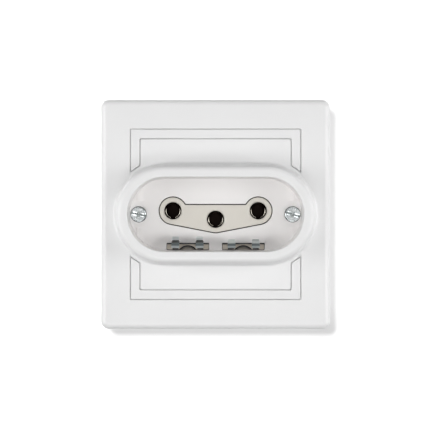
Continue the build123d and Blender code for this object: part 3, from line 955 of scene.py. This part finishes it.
# %% Phase contacts
shank_radius = 2.2
bore_radius = 2.25
bore_floor = 1.6
mouth_edge = 0.3
nose_radius = 2.65
nose_length = 0.9
edge_round = 0.06
groove_inset = 2.9
groove_height = 2.6
groove_depth = 0.35
slit_width = 1.5
slit_root = 3.5
for side, pin in pins.items():
    sleeve_low, sleeve_high = extent(f"phase_sleeve_{side}")
    radius = (sleeve_high.x - sleeve_low.x) / 2
    front = sleeve_high.z
    seat = extent(f"terminal_bar_{side}")[1].z
    groove = front - groove_inset
    profile = [(shank_radius, sleeve_low.z), (shank_radius, seat), (radius, seat)]
    profile += [(radius, groove - groove_height), (radius - groove_depth, groove - groove_height)]
    profile += [(radius - groove_depth, groove), (radius, groove)]
    profile += [(radius, front - nose_length), (nose_radius, front)]
    profile += arc((bore_radius + mouth_edge, front - mouth_edge), mouth_edge, 90, 180, steps=6)
    profile += [(bore_radius, seat + bore_floor)]
    sleeve = turned(f"phase_sleeve_{side}_turned", pin, profile)
    x_range = (pin[0] - slit_width / 2, pin[0] + slit_width / 2)
    z_range = (seat + bore_floor + slit_root, front + past)
    cut(sleeve, block("slit_tool", x_range, (pin[1] - radius - past, pin[1]), z_range))
    soften(sleeve, edge_round, segments=2)
    hang(sleeve, f"phase_sleeve_{side}", brass)
    keep(f"sleeve_spring_{side}", blued)
    keep(f"terminal_bar_{side}", brass)

# %% [markdown]
# Screws are skins too. The shank's loops follow a helical thread, which is the radius dipping once per
# pitch and once per turn, and the head's circles follow on the same count of points. Blender's screw
# modifier could wind the thread too, but here shank and head are one closed mesh. The drive is cut in
# afterwards.

# %% Screws with threads
screw_count = 40


def threaded(place, radius, low, high, pitch, depth=0.22, count=screw_count, rows_per_turn=6):
    """Loops of a threaded shank, plain at both ends."""
    rows = int((high - low) / pitch * rows_per_turn)
    loops = []
    for row in range(rows + 1):
        level = low + (high - low) * row / rows
        cut_in = min(1.0, row / rows_per_turn, (rows - row) / rows_per_turn)
        loop = []
        for i in range(count):
            ridge = abs((level / pitch - i / count) % 1.0 * 2 - 1)
            turn = 2 * pi * i / count
            reach = radius - depth * ridge * cut_in
            loop.append((place[0] + reach * cos(turn), place[1] + reach * sin(turn), level))
        loops.append(loop)
    return loops


def drive_tool(place, half_width, turn, depths, top):
    """A cutter along a screw head, through (distance, depth) pairs from its middle to its end."""
    low = [(x, top - depth) for x, depth in depths]
    reach = depths[-1][0]
    profile = [(-x, z) for x, z in reversed(low)] + low[1:] + [(reach, top + past), (-reach, top + past)]
    tool = skin("drive_tool", [[(x, y, z) for x, z in profile] for y in (-half_width, half_width)])
    tool.data.transform(Matrix.Translation((*place, 0)) @ Matrix.Rotation(radians(turn), 4, "Z"))
    return tool


# %% [markdown]
# The phase terminals have cheese-headed clamp screws of zinc-plated steel. Fresh plating is streaky, so its
# two colours lie further apart than those of the plastics. Below the heads of the cover screws the zinc is
# drawn grey as painted shade, and so are all the screws and nuts behind the cover.

# %% Clamp screws
zinc_colours = [(0.54, 0.58, 0.59), (0.72, 0.76, 0.77)]
zinc = surface(
    "zinc_steel", zinc_colours, roughness=(0.20, 0.34), grain=(700.0, 4e-6), metallic=1.0, drift=300.0
)
screw_top = extent("cover_screw_left")[1].z
bright_depth, slot_floor = 0.5, 0.9
painted_shade_grey = (0.30, 0.32, 0.32)
# Painted shade: grey below the level of the cover screws' heads.
fade(zinc, screw_top - bright_depth, screw_top - slot_floor, painted_shade_grey)

clamp_pitch = 0.6
clamp_head = 2.0
clamp_slot_width = 0.9
clamp_slot_depth = 1.0
phase_chamfer = 0.4


def clamp_screw(node, finish, chamfer, turn):
    """A cheese-headed screw with one slot."""
    low, high = extent(node)
    place = middle(node)
    radius = (high.x - low.x) / 2
    seat = high.z - clamp_head
    loops = threaded(place, clamp_shank, low.z, seat, clamp_pitch)
    edge = [(radius, seat), (radius, high.z - chamfer), (radius - chamfer, high.z)]
    loops += [circle(place, reach, level, screw_count) for reach, level in edge]
    screw = skin(node + "_threaded", loops)
    slot = [(0, clamp_slot_depth), (radius + past, clamp_slot_depth)]
    cut(screw, drive_tool(place, clamp_slot_width / 2, turn, slot, high.z))
    hang(screw, node, finish)


for side in pins:
    clamp_screw(f"terminal_screw_{side}", zinc, phase_chamfer, turn=0)

# %% [markdown]
# Neutral and earth are strips of plated metal. A flat foot lies under a screw and washer, and two fingers
# rise from it through the window, bulge towards the boss and end in a folded lip that guides the plug's
# side contacts in. The bends are a path with rounded corners, and a finger is a skin of narrow rectangles
# along it. Each rectangle's width follows from its height, so the finger is narrow in its slot and widest
# at the lip.

# %% Sizes of the side contacts
tail = 8.5
root_bend = 1.0
hump_bend = 1.3
fold_bend = 0.6
finger_gap = 0.35
finger_width = 2.3
lip_width = 2.75
neck_rise = 0.4
finger_rise = 1.0
hump_height = 5.0
hump_reaches = {"neutral": 3.25, "earth": 1.9}
fold_height = 6.6
guide = [(1.1, fold_height), (0.6, 9.2), (-0.9, 10.2)]
strip_edge = 0.13
notch = 2.2
line_y = window_top - finger_gap - strip / 2
bend_start = line_y - root_bend - strip / 2
neck_top = pad_face + neck_rise
lip_start = recess_floor + fold_height
shoulders = [neck_top, neck_top + (finger_width - neck_width) / 2]
shoulders += [lip_start, lip_start + (lip_width - finger_width) / 2]
print("fingers rise at y:", round(line_y, 2), "mm")

# %% [markdown]
# A strip bends round an arc, so each corner of the path becomes one. Where a finger widens, the path gets
# a point of its own, because a shoulder would be blurred if it fell between two rectangles.


# %% Paths and fingers
def bent(corners, radii, steps=6):
    """A path with its corners rounded."""
    corners = [Vector(corner) for corner in corners]
    path = [corners[0]]
    for before, corner, after, radius in zip(corners, corners[1:], corners[2:], radii):
        back, ahead = (before - corner).normalized(), (after - corner).normalized()
        half = back.angle(ahead) / 2
        centre = corner + (back + ahead).normalized() * radius / sin(half)
        start = corner + back * radius / tan(half) - centre
        turn = start.angle_signed(corner + ahead * radius / tan(half) - centre)
        for i in range(steps + 1):
            path.append(centre + Matrix.Rotation(-turn * i / steps, 2) @ start)
    return path + [corners[-1]]


def split_at(path, levels):
    """A path with a point added where it rises through each level."""
    for level in levels:
        for i, (low, high) in enumerate(zip(path, path[1:])):
            if low.y < level < high.y:
                path.insert(i + 1, low.lerp(high, (level - low.y) / (high.y - low.y)))
                break
    return path


def width_at(level):
    """A finger's width: narrow in its slot, wider above and widest at the lip, with slanting shoulders."""
    finger = min(finger_width, max(neck_width, neck_width + 2 * (level - neck_top)))
    return max(finger, min(lip_width, finger_width + 2 * (level - lip_start)))


def finger_loops(x, path):
    """Loops across a strip that follows a path in the y-z plane."""
    loops = []
    for i, point in enumerate(path):
        along = (path[min(i + 1, len(path) - 1)] - path[max(i - 1, 0)]).normalized()
        away = Vector((-along.y, along.x)) * (strip / 2 - hair)
        side = width_at(point.y) / 2
        corners = [(-side, away), (side, away), (side, -away), (-side, -away)]
        loops.append([(x + across, *(point + offset)) for across, offset in corners])
    return loops


# %% [markdown]
# The lips are darker in a band, and on the left a dark line of painted shade lies in the folds. Down in
# the window the plating is drawn grey, and behind the cover darker still, both as painted shade. Heights
# of these marks are counted from the fingers' upright run.

# %% Plating, painted shade and darker lips
plated_colours = {
    "neutral": [(0.76, 0.82, 0.84), (0.84, 0.90, 0.91)],
    "earth": [(0.60, 0.66, 0.68), (0.68, 0.74, 0.75)],
}
painted_window_shade = (0.34, 0.33, 0.31)
painted_hidden_shade = (0.16, 0.15, 0.14)
darker_lip = (0.26, 0.30, 0.31)
painted_fold_shade = (0.01, 0.012, 0.014)
# A darker band on the lips, and for the neutral contact a line of painted shade in the folds.
finger_marks = {
    "neutral": [((-0.30, -0.10, 0.75, 0.95), darker_lip), ((0.75, 0.90, 1.60, 1.75), painted_fold_shade)],
    "earth": [((-0.35, -0.15, 0.40, 0.70), darker_lip)],
}


def plating(name):
    """The finish of one side contact."""
    colours = plated_colours[name]
    made = surface(
        f"{name}_strip", colours, roughness=(0.26, 0.38), grain=(600.0, 4e-6), metallic=1.0, drift=220.0
    )
    # Painted shade: grey in the window, darker behind the cover.
    fade(made, recess_floor, floor_back, painted_window_shade)
    fade(made, floor_back, block_top - past, painted_hidden_shade)
    for heights, colour in finger_marks[name]:
        start, full, full_end, end = [(line_y + height) * MM for height in heights]
        streak(made, "Z", (start, full), (end, full_end), colour)
    return made


# %% [markdown]
# The foot is a flat strip with a hole for its screw. It is notched beside each finger, so that the bend
# doesn't tear. Foot and fingers get their soft edges first and are joined last, because a bevel across
# the joint would tear too.

# %% Bend and join the side contacts
for name, x in contacts.items():
    node = f"{name}_contact"
    low, high = extent(node)
    line_z = low.z + strip / 2
    y_range = (line_y - tail, bend_start - notch)
    contact = block(node + "_bent", (low.x, high.x), y_range, (low.z, low.z + strip))
    drill(contact, middle(f"{name}_screw"), clamp_shank + screw_fit, low.z - past, low.z + strip + past)
    soften(contact, strip_edge, segments=2)
    corners = [(bend_start - notch - past, line_z), (line_y, line_z), (line_y, recess_floor + finger_rise)]
    for reach, rise in [(hump_reaches[name], hump_height), *guide]:
        corners.append((line_y + reach, recess_floor + rise))
    path = split_at(bent(corners, [root_bend, hump_bend, hump_bend, fold_bend, fold_bend]), shoulders)
    for finger_x in (x - finger_spacing / 2, x + finger_spacing / 2):
        finger = skin("finger", finger_loops(finger_x, path))
        fuse(contact, soften(finger, strip_edge, sharper_than=50, segments=2))
    hang(contact, node, plating(name))

# %% [markdown]
# The side contacts' terminal screws clamp the wires under a washer. Through the windows one sees the
# upper rounds of their heads. Down there the zinc is drawn dark and brownish, as painted shade.

# %% Side terminals
# Dark brownish zinc as painted shade for the screws and washers in the windows.
painted_shade_zinc_colours = [(0.30, 0.27, 0.24), (0.40, 0.37, 0.33)]
painted_shade_zinc = surface(
    "painted_shade_zinc", painted_shade_zinc_colours, roughness=(0.45, 0.60), grain=(700.0, 6e-6), metallic=0.2, drift=300.0
)
side_chamfer = 0.3
slot_turns = {"neutral": 35, "earth": -20}
for name, turn in slot_turns.items():
    clamp_screw(f"{name}_screw", painted_shade_zinc, side_chamfer, turn)
    keep(f"{name}_washer", painted_shade_zinc)
    keep(f"{name}_nut", zinc)

# %% [markdown]
# Two pan-headed screws hold the cover. Their zinc is bright. The slots are darker towards their floor, and
# so is a ring along the head's rim, which sets the head off from the pad. Both are painted shade.

# %% Bright zinc
bright_colours = [(0.74, 0.79, 0.80), (0.82, 0.86, 0.87)]
bright_zinc = surface(
    "bright_zinc", bright_colours, roughness=(0.22, 0.32), grain=(700.0, 2e-6), metallic=1.0
)
painted_slot_shade = (0.34, 0.37, 0.37)
# Painted shade in the slots and in a ring round the head's rim.
fade(bright_zinc, screw_top - bright_depth, screw_top - slot_floor, painted_slot_shade)
rim_start, rim_full = 0.86, 0.93
painted_rim_shade = (0.16, 0.18, 0.18)
ring(bright_zinc, rim_start, rim_full, painted_rim_shade)

# %% [markdown]
# Their drive takes both kinds of driver: a slot right across and a cross with tapering wings. They stand
# as the fitter left them, each turned a little differently. The second wing is cut a hair deeper than the
# first, because two tools with a common floor would leave a seam.

# %% Cover screws
cover_pitch = 0.5
cover_shank = 1.5
head_round = 0.5
slot_width = 0.7
slot_depth = 0.9
wing_width = 1.2
wing_depths = [(0, 1.1), (2.0, 0.27)]
head_turns = {"left": -12, "right": -17}
cover_screws = []
for side, turn in head_turns.items():
    node = f"cover_screw_{side}"
    low, high = extent(node)
    place = screw_places[side]
    radius = (high.x - low.x) / 2
    seat = high.z - screw_head_height
    loops = threaded(place, cover_shank, low.z, seat, cover_pitch)
    loops.append(circle(place, radius, seat, screw_count))
    for reach, level in arc((radius - head_round, high.z - head_round), head_round, 0, 90, steps=6):
        loops.append(circle(place, reach, level, screw_count))
    screw = skin(node + "_threaded", loops)
    slot_depths = [(0, slot_depth), (radius + past, slot_depth)]
    cut(screw, drive_tool(place, slot_width / 2, turn, slot_depths, high.z))
    for i, wing in enumerate((turn, turn + 90)):
        depths = [(reach, depth + i * hair) for reach, depth in wing_depths]
        cut(screw, drive_tool(place, wing_width / 2, wing, depths, high.z))
    hang(screw, node, bright_zinc)
    cover_screws.append(screw)
    keep(f"cover_nut_{side}", zinc)

# %% [markdown]
# At the back a plate of brown pressed board shuts the live channels from the wall. Its fibres lie one
# way, so its grain is stretched along the wall. A flat plate needs no finer form, and the CAD piece is
# kept.

# %% Insulating board
board_colours = [(0.20, 0.11, 0.06), (0.30, 0.18, 0.10)]
fibres = (1, 1, 6)
board = surface("pressed_board", board_colours, roughness=(0.55, 0.75), grain=(1800.0, 2e-5), stretch=fibres)
keep("insulating_plate", board)

# %% [markdown]
# The socket hangs in front of a white wall, which shows only a slight shadow to the right and below. The
# wall adds its own white for the camera and for reflections alone, so it lights nothing, and one lamp of
# its own draws the shadow. It has no back, so the socket's back can be seen too.

# %% The wall
wall_size = 1.2
wall_gap = 0.0005
wall_glow = 0.60
wall_grey = (0.62, 0.62, 0.62, 1)
bpy.ops.mesh.primitive_plane_add(size=wall_size, location=(0, wall_gap, 0), rotation=(radians(90), 0, 0))
wall = bpy.context.object
wall.name = "white_wall"
for ray in ("diffuse", "shadow"):
    setattr(wall, f"visible_{ray}", False)
paint = bpy.data.materials.new("wall_paint")
paint.use_nodes = True
parts, links = paint.node_tree.nodes, paint.node_tree.links
parts.clear()
matt = parts.new("ShaderNodeBsdfDiffuse")
matt.inputs["Color"].default_value = wall_grey
glow = parts.new("ShaderNodeEmission")
glow.inputs["Strength"].default_value = wall_glow
both = parts.new("ShaderNodeAddShader")
clear = parts.new("ShaderNodeBsdfTransparent")
seen_side = parts.new("ShaderNodeNewGeometry")
pick = parts.new("ShaderNodeMixShader")
end = parts.new("ShaderNodeOutputMaterial")
links.new(matt.outputs["BSDF"], both.inputs[0])
links.new(glow.outputs["Emission"], both.inputs[1])
links.new(seen_side.outputs["Backfacing"], pick.inputs["Fac"])
links.new(both.outputs["Shader"], pick.inputs[1])
links.new(clear.outputs["BSDF"], pick.inputs[2])
links.new(pick.outputs["Shader"], end.inputs["Surface"])
wall.data.materials.append(paint)
wall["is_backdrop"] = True
print("wall:", wall_size, "m square,", wall_gap / MM, "mm behind the socket")

# %% [markdown]
# A lamp can be told what it lights and what casts a shadow in its light. The wall has a lamp of its own
# and the others leave it out. The cover, or the cover screws alone, cast no shadow in the light that
# fills the recess, as if it came from all round. A group of things says so for each lamp.


# %% Light groups
def linked(name, things, state):
    """A light group whose things are kept in or left out."""
    group = bpy.data.collections.new(name)
    for thing in things:
        group.objects.link(thing)
    for entry in group.collection_objects:
        entry.light_linking.link_state = state
    return group


wall_alone = linked("wall_alone", [wall], "INCLUDE")
wall_left_out = linked("wall_left_out", [wall], "EXCLUDE")
past_screws = linked("past_screws", cover_screws, "EXCLUDE")
past_cover = linked("past_cover", [cover, *cover_screws], "EXCLUDE")
print("light groups:", [group.name for group in (wall_alone, wall_left_out, past_screws, past_cover)])

# %% [markdown]
# Wide soft boxes stand far out to the left and right, so the plate's side edges are brighter than its top
# and bottom. A nearer pair lights the plate. Boxes in the middle are mostly low, which leaves the lower
# part of the recess in shade, and one straight below is for views from there. A third pair and a small
# box at the camera fill the recess, and a last pair behind the wall is for views of the back.

# %% Soft boxes
light_target = Vector((0, -0.03, 0))
light_distance = 1.2


def soft_box(name, across, up, size, watts, lit=wall_left_out, blocked=None):
    """A square lamp that looks at the socket from an angle across and an angle up, in degrees."""
    light = bpy.data.lights.new(name, "AREA")
    light.size = size
    light.energy = watts
    lamp = bpy.data.objects.new(name, light)
    across, up = radians(across), radians(up)
    away = Vector((sin(across) * cos(up), -cos(across) * cos(up), sin(up)))
    lamp.location = light_target + away * light_distance
    lamp.rotation_euler = away.to_track_quat("Z", "Y").to_euler()
    lamp.light_linking.receiver_collection = lit
    lamp.light_linking.blocker_collection = blocked
    bpy.context.scene.collection.objects.link(lamp)


for side, turn in (("left", -1), ("right", 1)):
    soft_box(f"{side}_far", across=turn * 85, up=0, size=0.8, watts=5.7)
    soft_box(f"{side}_near", across=turn * 40, up=0, size=0.6, watts=4.2, blocked=past_screws)
    soft_box(f"{side}_fill", across=turn * 45, up=0, size=0.6, watts=1.85, blocked=past_cover)
    soft_box(f"{side}_back", across=turn * 150, up=25, size=0.6, watts=6.0)
soft_box("low", across=0, up=-18, size=0.25, watts=1.6)
soft_box("lower", across=0, up=-45, size=0.6, watts=0.6)
soft_box("below", across=0, up=-85, size=0.8, watts=1.3)
soft_box("high", across=0, up=70, size=1.6, watts=2.4)
soft_box("camera_fill", across=0, up=0, size=0.2, watts=0.15, blocked=past_cover)
soft_box("wall_lamp", across=-6, up=6, size=0.10, watts=14.0, lit=wall_alone)
print("soft boxes:", len(bpy.data.lights))

# %% [markdown]
# The world adds a trace of light from all sides. Past the wall's edges the camera sees it as plain white,
# and a light path tells the camera's rays from the others.

# %% The world
ambient_grey = (0.02, 0.02, 0.02, 1)
plain_white = (1, 1, 1, 1)
world = bpy.data.worlds.new("studio")
bpy.context.scene.world = world
world.use_nodes = True
parts, links = world.node_tree.nodes, world.node_tree.links
ambient = parts["Background"]
ambient.inputs["Color"].default_value = ambient_grey
white = parts.new("ShaderNodeBackground")
white.inputs["Color"].default_value = plain_white
path_kind = parts.new("ShaderNodeLightPath")
choose = parts.new("ShaderNodeMixShader")
links.new(path_kind.outputs["Is Camera Ray"], choose.inputs["Fac"])
links.new(ambient.outputs["Background"], choose.inputs[1])
links.new(white.outputs["Background"], choose.inputs[2])
links.new(choose.outputs["Shader"], parts["World Output"].inputs["Surface"])
print("ambient light:", ambient_grey[0])

# %% [markdown]
# The photograph is taken from about arm's length with a long lens, square to the wall. The picture's
# width covers the plate nearly twice. How much of the recess's wall shows, and how far the collar's rim is
# enlarged against the plate, gives the distance.

# %% Camera
view_width = 0.1506
distance = 0.80
camera_offset = (-0.0002, -0.00024)
lens = bpy.data.cameras.new("camera")
lens.lens = lens.sensor_width * distance / view_width
camera = bpy.data.objects.new("camera", lens)
camera.location = (camera_offset[0], -cover_height * MM - distance, camera_offset[1])
camera.rotation_euler = (radians(90), 0, 0)
bpy.context.scene.collection.objects.link(camera)
bpy.context.scene.camera = camera
bpy.context.scene.view_settings.view_transform = "Standard"
print("lens:", round(lens.lens, 1), "mm at", distance, "m")

# %% [markdown]
# Last, the size with the finer pieces is set next to the frame's own and printed.

# %% Measure
sizes = {"frame": [list(corner) for corner in frame_bounds], "scene": [list(corner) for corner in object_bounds()]}
low, high = [Vector(corner) for corner in sizes["scene"]]
print("size with finer pieces:", [round(side / MM, 2) for side in high - low])
